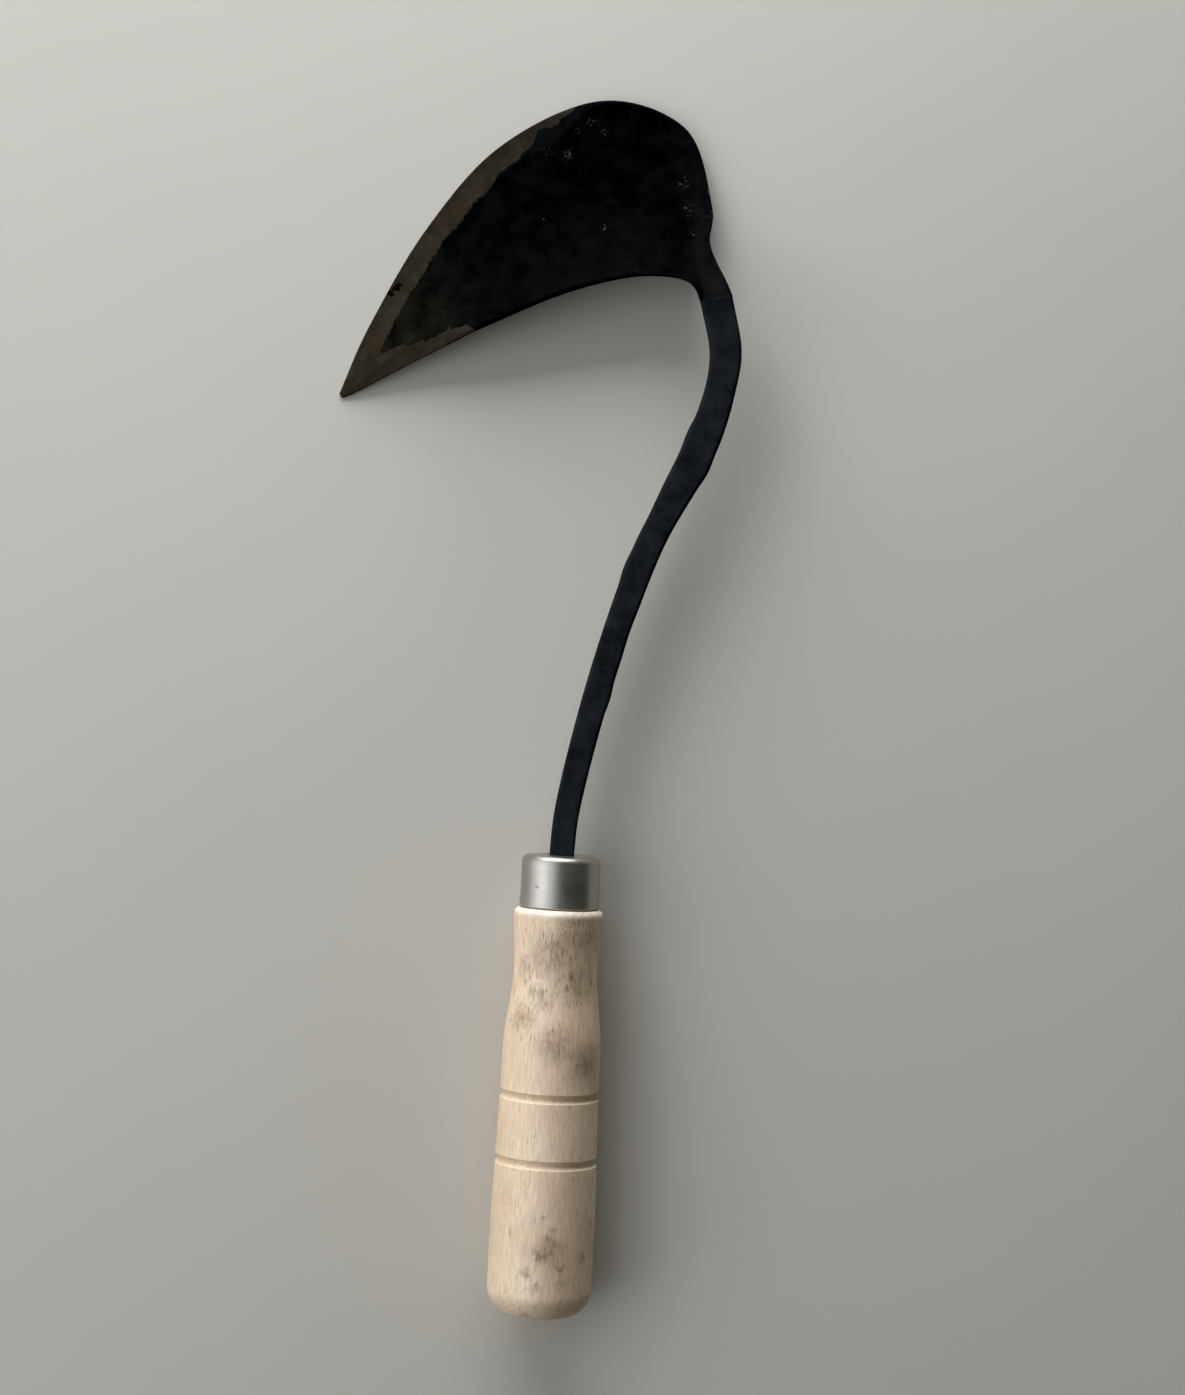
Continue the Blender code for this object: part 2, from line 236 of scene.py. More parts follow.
def new_piece(name, bm, material, node):
    """Make an object of a finished bmesh; it rides on the hoe and stands for its frame node."""
    bmesh.ops.recalc_face_normals(bm, faces=bm.faces)
    mesh = bpy.data.meshes.new(name)
    bm.to_mesh(mesh)
    bm.free()
    mesh.shade_smooth()
    mesh.set_sharp_from_angle(angle=radians(SMOOTH_UP_TO))
    mesh.materials.append(material)
    obj = bpy.data.objects.new(name, mesh)
    bpy.context.scene.collection.objects.link(obj)
    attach(obj, "root")
    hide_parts(node)


# ---------------------------------------------------------------------------------------------------------
# The forged head


def hammered(place, hollows):
    """Uneven height left by the hammer: smooth hollows, each kind with its reach and depth."""
    return sum(depth * noise.noise(place / reach) for reach, depth in hollows)


def neck_point(offset, length):
    """A point of the neck's centre line, which climbs from the ferrule to the blade's inner edge."""
    height = blend(AXIS.z, HEAD_LOW.z + BLADE_HEIGHT, ease(length))
    return Vector((AXIS.x + offset * NECK_OFFSET, FERRULE_HIGH.y + length * NECK_LENGTH, height))


def neck_station(rule, share):
    """Left and right edges of the neck at a share of its length, from the root to the ferrule."""
    ahead = rule.at(share + NECK_LOOK_AHEAD) - rule.at(share - NECK_LOOK_AHEAD)
    side = Vector((-ahead.y, ahead.x, 0)).normalized()
    swelling = NECK_SWELLING * ease(1 - abs(share - SWELLING_PLACE) / SWELLING_REACH)
    half = (blend(NECK_ROOT_WIDTH, NECK_WIDTH, share) + swelling) / 2
    left = right = half
    for place, hand, size, reach in NECK_KINKS:
        kink = size * ease(1 - abs(share - place) / reach)
        left, right = (left + kink, right) if hand > 0 else (left, right + kink)
    return rule.at(share) - side * left, rule.at(share) + side * right


def blade_point(length, width, height):
    """A point on the blade's own shares, with the neck's root as its fixed place."""
    root = neck_point(*NECK_LINE[-1])
    return Vector((root.x + (length - ROOT_PLACE[0]) * BLADE_LENGTH,
                   root.y + (width - ROOT_PLACE[1]) * BLADE_WIDTH, HEAD_LOW.z + height * BLADE_HEIGHT))


def line_shares(width):
    """Shares across a station for its lines of points: close together at both edges."""
    lines = [line * MM for line in EDGE_LINES_MM]
    scale = min(1.0, LINES_ROOM * width / lines[-1])
    first = [line * scale / width for line in lines]
    last = [1 - share for share in reversed(first)]
    between = [blend(first[-1], last[0], (i + 1) / (BETWEEN_LINES + 1)) for i in range(BETWEEN_LINES)]
    return first + between + last


def edge_fall(distance, reach):
    """How far a hammered corner has fallen at a distance in from it, as a share from 1 to 0."""
    return max(0.0, 1 - distance / reach) ** CORNER_ROUNDNESS


def wheel_fall(distance, reach):
    """The same for a corner ground flat by the wheel."""
    return max(0.0, 1 - distance / reach)


def blade_station(t, inner, outer):
    """Every point across the blade at a share t from its point to the neck's root.

    Each is its middle place, its front and back heights and how upright they stand, and what shows there: how
    far inside the bare steel its front and its back are, its place along the edge, its distance from it and
    its neck share.
    """
    inner_share = 1 - (1 - t) ** HEEL_FAN
    left, right = inner.at(inner_share), outer.at(t)
    width = (right - left).length
    root = ease((t - ROOT_STARTS) / ROOT_REACH)
    ground = 1 - ease((t - OUTER_GROUND_ENDS) / OUTER_GROUND_FADE)
    inner_ground = 1 - ease((t - INNER_GROUND_ENDS) / INNER_GROUND_FADE)
    right_reach = blend(blend(EDGE_BREAK, OUTER_BEVEL, ground), NECK_CHAMFER, root)
    left_reach = blend(blend(EDGE_BREAK, INNER_BEVEL, inner_ground), NECK_CHAMFER, root)
    room = min(1.0, BEVEL_ROOM * width / (left_reach + right_reach))
    sag = (left.z - right.z) / 4 * (1 - ROOT_FLATNESS * root) + DISH_DEPTH * sin(pi * t ** DEEPEST_DISH)
    full = blend(EDGE_THICKNESS, BLADE_THICKNESS, room)
    upright = ease((t - UPRIGHT_STARTS) / UPRIGHT_REACH)
    outer_mm, inner_mm = t * outer.length / MM, inner_share * inner.length / MM
    outer_bare, inner_bare = read_off(OUTER_GRIND_MM, outer_mm), read_off(INNER_GRIND_MM, inner_mm)
    station = []
    for u in line_shares(width):
        middle = left.lerp(right, u) - Vector((0, 0, 4 * sag * u * (1 - u)))
        from_right, from_left = (1 - u) * width, u * width
        thick = blend(full, NECK_THICKNESS, root * (1 - u * (1 - root)) ** 2)
        front = blend(thick - BLADE_THICKNESS / 2, thick / 2, root)
        back = blend(-BLADE_THICKNESS / 2, -thick / 2, root)
        sides = ((from_right, right_reach, ground), (from_left, left_reach, inner_ground))
        for distance, reach, wheel in sides:
            corner = NECK_CORNER * edge_fall(distance, NECK_CORNER_REACH * room)
            forged = blend(EDGE_BREAK * edge_fall(distance, EDGE_BREAK_REACH), corner, root)
            front -= blend(forged, (thick - EDGE_THICKNESS) * wheel_fall(distance, reach * room), wheel)
            back += corner * root
            thinned = (1 - root) * (1 - wheel) * (thick - EDGE_THICKNESS) * UNDER_FALL
            back += thinned * edge_fall(distance, UNDER_REACH * room)
        quiet = ease(min(from_right, from_left) / HOLLOWS_FADE)
        front += quiet * hammered(middle, BLADE_HOLLOWS)
        back += quiet * hammered(middle + BACK_SHIFT, BLADE_BACK_HOLLOWS)
        bare = max(outer_bare - from_right / MM, inner_bare - from_left / MM)
        rim = min(BACK_RIM_MM, bare) - min(from_right, from_left) / MM
        station.append((middle, front, back, upright, bare, rim, outer_mm, from_right / MM, 0.0))
    return station


def bar_station(left, right, thickness, along_mm, neck=1.0):
    """Every point across the neck or the tang: a hammered square bar with softened corners."""
    width = (right - left).length
    station = []
    for u in line_shares(width):
        middle = left.lerp(right, u)
        distance = min(u, 1 - u) * width
        half = thickness / 2 - NECK_CORNER * edge_fall(distance, NECK_CORNER_REACH)
        front = half + hammered(middle, NECK_HOLLOWS)
        back = hammered(middle + BACK_SHIFT, NECK_BACK_HOLLOWS) - half
        station.append((middle, front, back, 1.0, NO_BARE_MM, NO_BARE_MM, along_mm, distance / MM, neck))
    return station


def head_stations():
    """Every station of the head, from the blade's point to the tang's end."""
    guides = [neck_point(*shares) for shares in reversed(NECK_LINE)]
    below_ferrule = guides[-1] - Vector((0, STRAIGHT_BELOW_FERRULE, 0))
    neck = Rule(smooth_line(guides, 2 * guides[0] - guides[1], below_ferrule))
    root_left, root_right = neck_station(neck, 0.0)
    next_left, next_right = neck_station(neck, NECK_AIM)
    tip = blade_point(0.0, 0.0, TIP_HEIGHT_SHARE)
    half_tip = Vector(TIP_DIRECTION) * TIP_WIDTH / 2
    inner_guides = [tip - half_tip] + [blade_point(*shares) for shares in INNER_EDGE] + [root_left]
    outer_guides = [tip + half_tip] + [blade_point(*shares) for shares in OUTER_EDGE] + [root_right]
    inner = Rule(smooth_line(inner_guides, 2 * inner_guides[0] - inner_guides[1], next_left))
    outer = Rule(smooth_line(outer_guides, 2 * outer_guides[0] - outer_guides[1], next_right))
    stations = [blade_station(i / BLADE_STATIONS, inner, outer) for i in range(BLADE_STATIONS)]
    for i in range(NECK_STATIONS):
        share = i / NECK_STATIONS
        along_mm = (outer.length + share * neck.length) / MM
        tint = blend(NECK_TINT_AT_ROOT, 1.0, ease(share / NECK_TINT_REACH))
        stations.append(bar_station(*neck_station(neck, share), NECK_THICKNESS, along_mm, tint))
    for i in range(TANG_STATIONS + 1):
        share = i / TANG_STATIONS
        place = Vector((AXIS.x, FERRULE_HIGH.y - share * TANG_LENGTH, AXIS.z))
        half = Vector((blend(NECK_WIDTH, TANG_END, share) / 2, 0, 0))
        thickness = blend(NECK_THICKNESS, TANG_END, share)
        stations.append(bar_station(place - half, place + half, thickness, 0.0))
    return stations


def head_mesh():
    """Wrap a grid round the stations: across the front, back along the underside, and closed at the seam."""
    stations = head_stations()
    count = len(stations[0])
    bm = bmesh.new()
    bmesh.ops.create_grid(bm, x_segments=len(stations) - 1, y_segments=2 * count, size=1.0)
    layers = [bm.verts.layers.float.new(name) for name in HEAD_MARKS]
    for vert in bm.verts:
        i = round((vert.co.x + 1) / 2 * (len(stations) - 1))
        j = round((vert.co.y + 1) / 2 * 2 * count) % (2 * count)
        k = j if j < count else 2 * count - 1 - j
        middle, front, back, upright, bare, rim, along_mm, across_mm, neck = stations[i][k]
        before, after = stations[max(i - 1, 0)][k][0], stations[min(i + 1, len(stations) - 1)][k][0]
        sideways = stations[i][min(k + 1, count - 1)][0] - stations[i][max(k - 1, 0)][0]
        normal = (after - before).cross(sideways).normalized().lerp(Vector((0, 0, 1)), upright)
        vert.co = middle + normal * (front if j < count else back)
        vert.co.z = max(vert.co.z, HEAD_LOW.z)
        for layer, mark in zip(layers, (bare if j < count else rim, along_mm, across_mm, neck)):
            vert[layer] = mark
    bmesh.ops.remove_doubles(bm, verts=bm.verts, dist=WELD)
    bmesh.ops.holes_fill(bm, edges=[edge for edge in bm.edges if edge.is_boundary], sides=0)
    return bm


# ---------------------------------------------------------------------------------------------------------
# The turned pieces


def arc(centre, radius, start, end, steps):
    """Points (along the axis, out from it) on an arc; angles in degrees from straight out."""
    angles = [radians(blend(start, end, i / steps)) for i in range(steps + 1)]
    return [(centre[0] + radius * sin(a), centre[1] + radius * cos(a)) for a in angles]


def turned(profile, closed):
    """Turn a profile of (along, out) points round the handle's axis."""
    bm = bmesh.new()
    verts = [bm.verts.new((AXIS.x + out, along, AXIS.z)) for along, out in profile]
    edges = [bm.edges.new(pair) for pair in zip(verts, verts[1:])]
    if closed:
        edges.append(bm.edges.new((verts[-1], verts[0])))
    bmesh.ops.spin(bm, geom=verts + edges, cent=AXIS, axis=(0, 1, 0), angle=2 * pi, steps=ROUND_STEPS,
                   use_merge=True)
    bmesh.ops.remove_doubles(bm, verts=bm.verts, dist=WELD)
    return bm


HOLE_SQUARENESS = 8


def square_hole(bm, reach, first):
    """Make the round hole along the axis square, where it is narrower than reach and past the first place."""
    for vert in bm.verts:
        across, up = vert.co.x - AXIS.x, vert.co.z - AXIS.z
        out = hypot(across, up)
        if WELD < out < reach and vert.co.y > first:
            angle = atan2(up, across)
            square = abs(cos(angle)) ** HOLE_SQUARENESS + abs(sin(angle)) ** HOLE_SQUARENESS
            grow = square ** (-1 / HOLE_SQUARENESS)
            vert.co.x, vert.co.z = AXIS.x + across * grow, AXIS.z + up * grow


def tang_half(along):
    """Half the width of the tang's hole at a place along the axis."""
    share = (FERRULE_HIGH.y - along) / TANG_LENGTH
    return blend(NECK_WIDTH, TANG_END, share) / 2 + CLEARANCE


FERRULE_WALL = 0.8 * MM
FERRULE_ROUNDING = 1.9 * MM
FERRULE_FLARE = 0.12 * MM
FLARE_SHARE = 1 / 3
FERRULE_LIP = 0.25 * MM
# The tang's hole in the ferrule's top: its broken corner, and the radii up to which it is square and flat
HOLE_CORNER = 0.3 * MM
HOLE_REACH = 5.5 * MM
FLAT_TOP_FROM = 6.5 * MM


def ferrule_mesh():
    """A drawn cap: a thin wall, slightly belled at the mouth, a rounded shoulder and the tang's hole."""
    mouth, top = FERRULE_LOW.y, FERRULE_HIGH.y
    hole = tang_half(top)
    inner = FERRULE_RADIUS - FERRULE_WALL
    corner = (top - FERRULE_ROUNDING, FERRULE_RADIUS - FERRULE_ROUNDING)
    steps = 12
    outside = []
    for share in [i / steps for i in range(steps + 1)]:
        along = blend(mouth + FERRULE_LIP, corner[0], share)
        outside.append((along, FERRULE_RADIUS - FERRULE_FLARE * ease(share / FLARE_SHARE)))
    profile = [(top - FERRULE_WALL, hole), (top - FERRULE_WALL, FLAT_TOP_FROM)]
    profile += arc(corner, FERRULE_ROUNDING - FERRULE_WALL, 90, 0, 10)
    profile += [(mouth + FERRULE_LIP, inner), (mouth, inner + FERRULE_LIP)]
    profile += [(mouth, FERRULE_RADIUS - FERRULE_LIP)]
    profile += outside
    profile += arc((corner[0], corner[1] - FERRULE_FLARE), FERRULE_ROUNDING, 0, 90, 20)[1:]
    profile += [(top, FLAT_TOP_FROM), (top, hole + HOLE_CORNER), (top - HOLE_CORNER, hole)]
    bm = turned(profile, closed=True)
    square_hole(bm, HOLE_REACH, mouth)
    return bm


FLARE_RADIUS = 13.4 * MM
FLARE_BELOW_SHOULDER = 38.5 * MM
WAIST_RADIUS = 11.5 * MM
WAIST_BELOW_SHOULDER = 17.0 * MM
GRIP_FULLEST = 19.5 * MM
SHOULDER_STEP = 1.3 * MM
SHOULDER_ROUNDING = 1.6 * MM
BUTT_ROUNDING = 7.2 * MM
BUTT_RING = 3.5 * MM
GROOVE_PLACES = (42.4 * MM, 60.2 * MM)
GROOVE_WIDTH = 2.5 * MM
GROOVE_DEPTH = 0.8 * MM
GROOVE_SQUARENESS = 0.8
PROFILE_STEP = 1.2 * MM

# What sanding and use left of the true round: the depth and the two reaches of the unevenness, out from the
# axis and along it; then the size, the depth and the rarity of chips, and how near the shoulder's corner or a
# groove they come, with the grooves' share
SANDED_DEPTH, SANDED_ACROSS, SANDED_ALONG = 0.10 * MM, 7 * MM, 16 * MM
CHIP_SIZE, CHIP_DEPTH, CHIP_RARITY = 1.6 * MM, 0.45 * MM, 0.25
CHIPS_BY_SHOULDER, CHIPS_BY_GROOVE, GROOVE_CHIPS_SHARE = 1.6 * MM, 1.9 * MM, 0.7


def grip_radius(along):
    """The handle's radius at a distance from its butt, without its grooves."""
    shoulder = SHOULDER - BUTT
    marks = [(0.0, GRIP_RADIUS), (GRIP_FULLEST, GRIP_RADIUS), (shoulder - FLARE_BELOW_SHOULDER, FLARE_RADIUS),
             (shoulder - WAIST_BELOW_SHOULDER, WAIST_RADIUS), (shoulder, FERRULE_RADIUS + SHOULDER_STEP)]
    for (start, first), (end, second) in zip(marks, marks[1:]):
        if along <= end:
            return blend(first, second, ease((along - start) / (end - start)))
    return marks[-1][1]


def groove(centre):
    """Profile points of one turned groove: a shallow hollow that the tool left with crisp corners."""
    steps = 14
    surface = grip_radius(centre)
    shares = [i / steps for i in range(steps + 1)]
    return [(centre + (u - 0.5) * GROOVE_WIDTH, surface - GROOVE_DEPTH * sin(pi * u) ** GROOVE_SQUARENESS)
            for u in shares]


def handle_profile():
    """The handle from butt to spigot end, then down the tang's hole to its bottom, from the butt's place."""
    shoulder = SHOULDER - BUTT
    points = [(0.0, 0.0), (0.0, BUTT_RING)]
    points += arc((BUTT_ROUNDING, GRIP_RADIUS - BUTT_ROUNDING), BUTT_ROUNDING, -90, 0, 28)
    stop = shoulder - SHOULDER_ROUNDING
    bounds = [BUTT_ROUNDING] + list(GROOVE_PLACES) + [stop]
    for start, end in zip(bounds, bounds[1:]):
        start += GROOVE_WIDTH / 2 if start in GROOVE_PLACES else 0.0
        finish = end - GROOVE_WIDTH / 2 if end in GROOVE_PLACES else end
        count = max(2, round((finish - start) / PROFILE_STEP))
        places = [blend(start, finish, i / count) for i in range(1, count)]
        points += [(place, grip_radius(place)) for place in places]
        if end != stop:
            points += groove(end)
    points += arc((stop, grip_radius(stop) - SHOULDER_ROUNDING), SHOULDER_ROUNDING, 0, 90, 10)
    spigot = FERRULE_RADIUS - FERRULE_WALL - CLEARANCE
    end = FERRULE_HIGH.y - BUTT - FERRULE_WALL - CLEARANCE
    corner = FERRULE_ROUNDING - FERRULE_WALL - CLEARANCE
    points.append((shoulder, spigot))
    points += arc((end - corner, spigot - corner), corner, 0, 90, 6)
    bottom = FERRULE_HIGH.y - BUTT - TANG_LENGTH - CLEARANCE
    depths = [blend(end, bottom, i / HOLE_STATIONS) for i in range(HOLE_STATIONS + 1)]
    points += [(depth, tang_half(BUTT + depth)) for depth in depths]
    return points + [(bottom, 0.0)]


def handle_mesh():
    """The turned handle, with the slight unevenness that sanding left."""
    bm = turned([(BUTT + along, out) for along, out in handle_profile()], closed=False)
    square_hole(bm, HOLE_REACH, BUTT + BUTT_ROUNDING)
    for vert in bm.verts:
        out = Vector((vert.co.x - AXIS.x, 0, vert.co.z - AXIS.z))
        if out.length > HOLE_REACH and vert.co.y < SHOULDER + CLEARANCE / 2:
            across, along, up = vert.co.x / SANDED_ACROSS, vert.co.y / SANDED_ALONG, vert.co.z / SANDED_ACROSS
            worn = 0.5 + 0.5 * noise.noise((across, along, up))
            chips = max(0.0, noise.noise(vert.co / CHIP_SIZE) - CHIP_RARITY)
            edge = ease(1 - abs(vert.co.y - SHOULDER) / CHIPS_BY_SHOULDER)
            for groove_place in GROOVE_PLACES:
                near = 1 - abs(vert.co.y - BUTT - groove_place) / CHIPS_BY_GROOVE
                edge += GROOVE_CHIPS_SHARE * ease(near)
            vert.co -= out.normalized() * (SANDED_DEPTH * worn + CHIP_DEPTH * chips * edge)
    return bm


# ---------------------------------------------------------------------------------------------------------
# Materials


def new_material(name):
    """An empty material with its output's shader; returns it, its node tree and the shader."""
    material = bpy.data.materials.new(name)
    material.use_nodes = True
    tree = material.node_tree
    return material, tree, tree.nodes["Principled BSDF"]


def add(tree, kind, inputs, output=0, **settings):
    """Add a node with its settings and return one output; each input is a value or an output to link."""
    node = tree.nodes.new("ShaderNode" + kind)
    for name, value in settings.items():
        setattr(node, name, value)
    for key, value in inputs.items():
        if isinstance(value, bpy.types.NodeSocket):
            tree.links.new(value, node.inputs[key])
        else:
            node.inputs[key].default_value = value
    return node.outputs[output]


def spots(tree, place, marks, softness):
    """1 inside any of the marks and 0 outside; each is a centre in mm and a radius in mm."""
    total = None
    for centre_mm, radius_mm in marks:
        centre, radius = [value * MM for value in centre_mm], radius_mm * MM
        distance = add(tree, "VectorMath", {0: place, 1: centre}, "Value", operation="DISTANCE")
        inside = add(tree, "MapRange", {"Value": distance, "From Min": radius,
                                        "From Max": radius * (1 - softness)}, interpolation_type="SMOOTHSTEP")
        total = inside if total is None else add(tree, "Math", {0: total, 1: inside}, operation="MAXIMUM")
    return total


def strayed(tree, place, pattern, reach):
    """The place, moved by up to half of reach each way as a colour pattern says, for ragged edges."""
    shift = add(tree, "VectorMath", {0: pattern, 1: (0.5, 0.5, 0.5)}, operation="SUBTRACT")
    shift = add(tree, "VectorMath", {0: shift, "Scale": reach}, operation="SCALE")
    return add(tree, "VectorMath", {0: place, 1: shift}, operation="ADD")


def coated(tree, colour, layers):
    """The colour with each layer's colour laid over it by the layer's share, in order."""
    for share, over in layers:
        colour = add(tree, "Mix", {0: share, 6: colour, 7: over}, 2, data_type="RGBA")
    return colour


# The middle span of a noise pattern, where nearly all its values lie
NOISE_SPAN = {"From Min": 0.3, "From Max": 0.7}
# Flattens a place into the plan of the hoe as it lies
PLAN = (1, 1, 0)

# Rust, stains and painted glints on the head, in mm: where each is in plan, and its radius
RUST_MM = [((-40.9, 112.2, 0.0), 1.3), ((-42.0, 110.6, 0.0), 1.1), ((-39.8, 113.2, 0.0), 0.8)]
STAIN_MM = [((-25.5, 135.5, 0.0), 4.5), ((-29.0, 131.0, 0.0), 3.6), ((-20.5, 141.5, 0.0), 2.4),
            ((-45.0, 97.0, 0.0), 4.5)]
# Pale specks where bumps in the scale and the heel's rim catch the light: painted glints
GLINT_SPECKS_MM = [((11.0, 160.8, 0.0), 3.2), ((14.7, 158.8, 0.0), 3.4), ((7.0, 158.0, 0.0), 2.6),
            ((37.5, 145.0, 0.0), 4.6), ((39.5, 138.0, 0.0), 4.2), ((-0.5, 152.2, 0.0), 3.4),
            ((5.1, 151.1, 0.0), 3.0), ((-0.3, 132.5, 0.0), 2.4), ((16.0, 131.0, 0.0), 2.4),
            ((41.0, 131.0, 0.0), 2.4), ((20.7, 27.3, 0.0), 2.6), ((10.8, -8.4, 0.0), 4.0),
            ((44.6, 143.3, 0.0), 1.8), ((45.4, 136.6, 0.0), 1.8)]


def forged_steel(settings):
    """Hand-forged carbon steel, black with forge scale, its edges bared by a grinding wheel.

    Scale is a blue-black oxide skin with almost no gloss, browner near the point. Its colour also holds
    painted light
    and shade: painted light makes it paler near the point, painted shade makes it darker deep in the dish,
    and pale specks and a bright line along the ground edge are painted glints.
    The ground steel has tarnished brown. It has fine scratches across the edge, stains and spots of rust.
    """
    material, tree, shader = new_material("forged carbon steel, scaled and edge-ground")
    place = add(tree, "TexCoord", {}, "Object")
    plan = add(tree, "VectorMath", {0: place, 1: PLAN}, operation="MULTIPLY")
    bare_mm, along_mm, across_mm, neck = [add(tree, "Attribute", {}, "Fac", attribute_name=name)
                                          for name in HEAD_MARKS]

    # The boundary between scale and bare steel wanders in waves of 3 mm, with finer ones in them
    waves = add(tree, "TexNoise", {"Vector": place, "Scale": 1 / (3.2 * MM), "Detail": 4.0,
                                   "Roughness": 0.65})
    wander = add(tree, "Math", {0: waves, 1: 0.5}, operation="SUBTRACT")
    margin = add(tree, "Math", {0: wander, 1: 4.0, 2: bare_mm}, operation="MULTIPLY_ADD")
    bare = add(tree, "MapRange", {"Value": margin, "From Min": -0.10, "From Max": 0.12},
               interpolation_type="SMOOTHSTEP")

    # Painted glints: pale specks of about 0.6 mm where bumps in the scale catch the light, thick only in a
    # few patches
    speck = add(tree, "TexNoise", {"Vector": place, "Scale": 1 / (0.6 * MM), "Detail": 3.0})
    patch = add(tree, "TexNoise", {"Vector": place, "Scale": 1 / (9 * MM), "Detail": 1.0})
    near_glints = spots(tree, plan, GLINT_SPECKS_MM, 0.9)
    patch_need = add(tree, "MapRange", {"Value": patch, "From Min": 0.3, "From Max": 0.8, "To Min": 0.80,
                                        "To Max": 0.71})
    need = add(tree, "Math", {0: near_glints, 1: -0.185, 2: patch_need}, operation="MULTIPLY_ADD")
    over = add(tree, "Math", {0: speck, 1: need}, operation="SUBTRACT")
    glinted = add(tree, "MapRange", {"Value": over, "From Max": 0.09})

    # Scale: blue-black on the neck, darker deep in the dish as painted shade, and paler and browner towards
    # the point, where the paler tone is painted light
    mottle = add(tree, "TexNoise", {"Vector": place, "Scale": 1 / (5 * MM), "Detail": 6.0, "Roughness": 0.62})
    near_point = add(tree, "MapRange", {"Value": along_mm, "From Min": 70.0, "From Max": 14.0},
                     interpolation_type="SMOOTHSTEP")
    # Darker scale deep in the dish is painted shade of its hollow
    dish_shade = add(tree, "MapRange", {"Value": across_mm, "From Min": 6.0, "From Max": 30.0},
                  interpolation_type="SMOOTHSTEP")
    # Paler scale near the point is painted light where the point faces the window, over the scale's own
    # browner tint
    uneven_patches = add(tree, "MapRange", {"Value": mottle, "From Min": 0.30, "From Max": 0.62, "To Min": 0.45})
    worn = add(tree, "Math", {0: near_point, 1: uneven_patches}, operation="MULTIPLY")
    scale = coated(tree, settings.scale_colour, [(dish_shade, settings.dish_shade_colour),
                                                 (worn, settings.point_tint_and_light_colour), (neck, settings.neck_colour)])
    shade = add(tree, "MapRange", {"Value": mottle, **NOISE_SPAN, "To Min": 0.62, "To Max": 1.35})
    scale = add(tree, "VectorMath", {0: scale, "Scale": shade}, operation="SCALE")
    # The pale specks laid over the scale are painted glints
    scale = coated(tree, scale, [(glinted, settings.glint_colour)])

    # Ground steel: scratches run in from the edge, 4 mm long and 0.22 mm apart, coarse enough to show
    run = add(tree, "CombineXYZ", {"X": along_mm, "Y": across_mm})
    scratch_run = add(tree, "Mapping", {"Vector": run, "Scale": (1 / 0.22, 1 / 4.0, 1.0)})
    scratches = add(tree, "TexNoise", {"Vector": scratch_run, "Scale": 1.0, "Detail": 4.0, "Roughness": 0.65})
    tarnish = add(tree, "TexNoise", {"Vector": place, "Scale": 1 / (3.5 * MM), "Detail": 5.0,
                                     "Roughness": 0.6})
    tarnished = add(tree, "MapRange", {"Value": tarnish, "From Min": 0.35, "From Max": 0.68})
    steel = coated(tree, settings.steel_colour, [(tarnished, settings.tarnish_colour)])
    streak = add(tree, "MapRange", {"Value": scratches, **NOISE_SPAN, "To Min": 0.66, "To Max": 1.30})
    steel = add(tree, "VectorMath", {0: steel, "Scale": streak}, operation="SCALE")

    # The last 0.35 mm at the edge is brighter, a painted glint along the ground edge; stains spread softly,
    # and rust has eaten in at three spots
    rim = add(tree, "MapRange", {"Value": across_mm, "From Min": 0.35, "From Max": 0.10, "To Max": 0.6})
    ragged = add(tree, "TexNoise", {"Vector": place, "Scale": 1 / (1.4 * MM), "Detail": 3.0}, "Color")
    moved = strayed(tree, plan, ragged, 3.0 * MM)
    moved = add(tree, "VectorMath", {0: moved, 1: PLAN}, operation="MULTIPLY")
    stain = add(tree, "Math", {0: spots(tree, moved, STAIN_MM, 1.0), 1: 0.65}, operation="MULTIPLY")
    rust = spots(tree, moved, RUST_MM, 0.35)
    # The brighter edge line is a painted glint; the stains and the rust are the steel's own
    steel = coated(tree, steel, [(rim, settings.glint_colour), (stain, settings.stain_colour),
                                 (rust, settings.rust_colour)])
    tree.links.new(coated(tree, scale, [(bare, steel)]), shader.inputs["Base Color"])

    # Tarnish leaves the ground steel only partly metallic, and rust leaves none of it so
    clean = add(tree, "Math", {0: 1.0, 1: rust}, operation="SUBTRACT")
    metal = add(tree, "Math", {0: bare, 1: clean}, operation="MULTIPLY")
    metal = add(tree, "Math", {0: metal, 1: 0.2}, operation="MULTIPLY")
    tree.links.new(metal, shader.inputs["Metallic"])
    scale_rough = add(tree, "MapRange", {"Value": mottle, **NOISE_SPAN, "To Min": 0.36, "To Max": 0.48})
    steel_rough = add(tree, "MapRange", {"Value": tarnish, **NOISE_SPAN, "To Min": 0.60, "To Max": 0.72})
    rough = add(tree, "Mix", {0: bare, 2: scale_rough, 3: steel_rough})
    rough = add(tree, "Math", {0: rust, 1: 0.35, 2: rough}, operation="MULTIPLY_ADD")
    tree.links.new(rough, shader.inputs["Roughness"])
    shader.inputs["Specular IOR Level"].default_value = 0.002

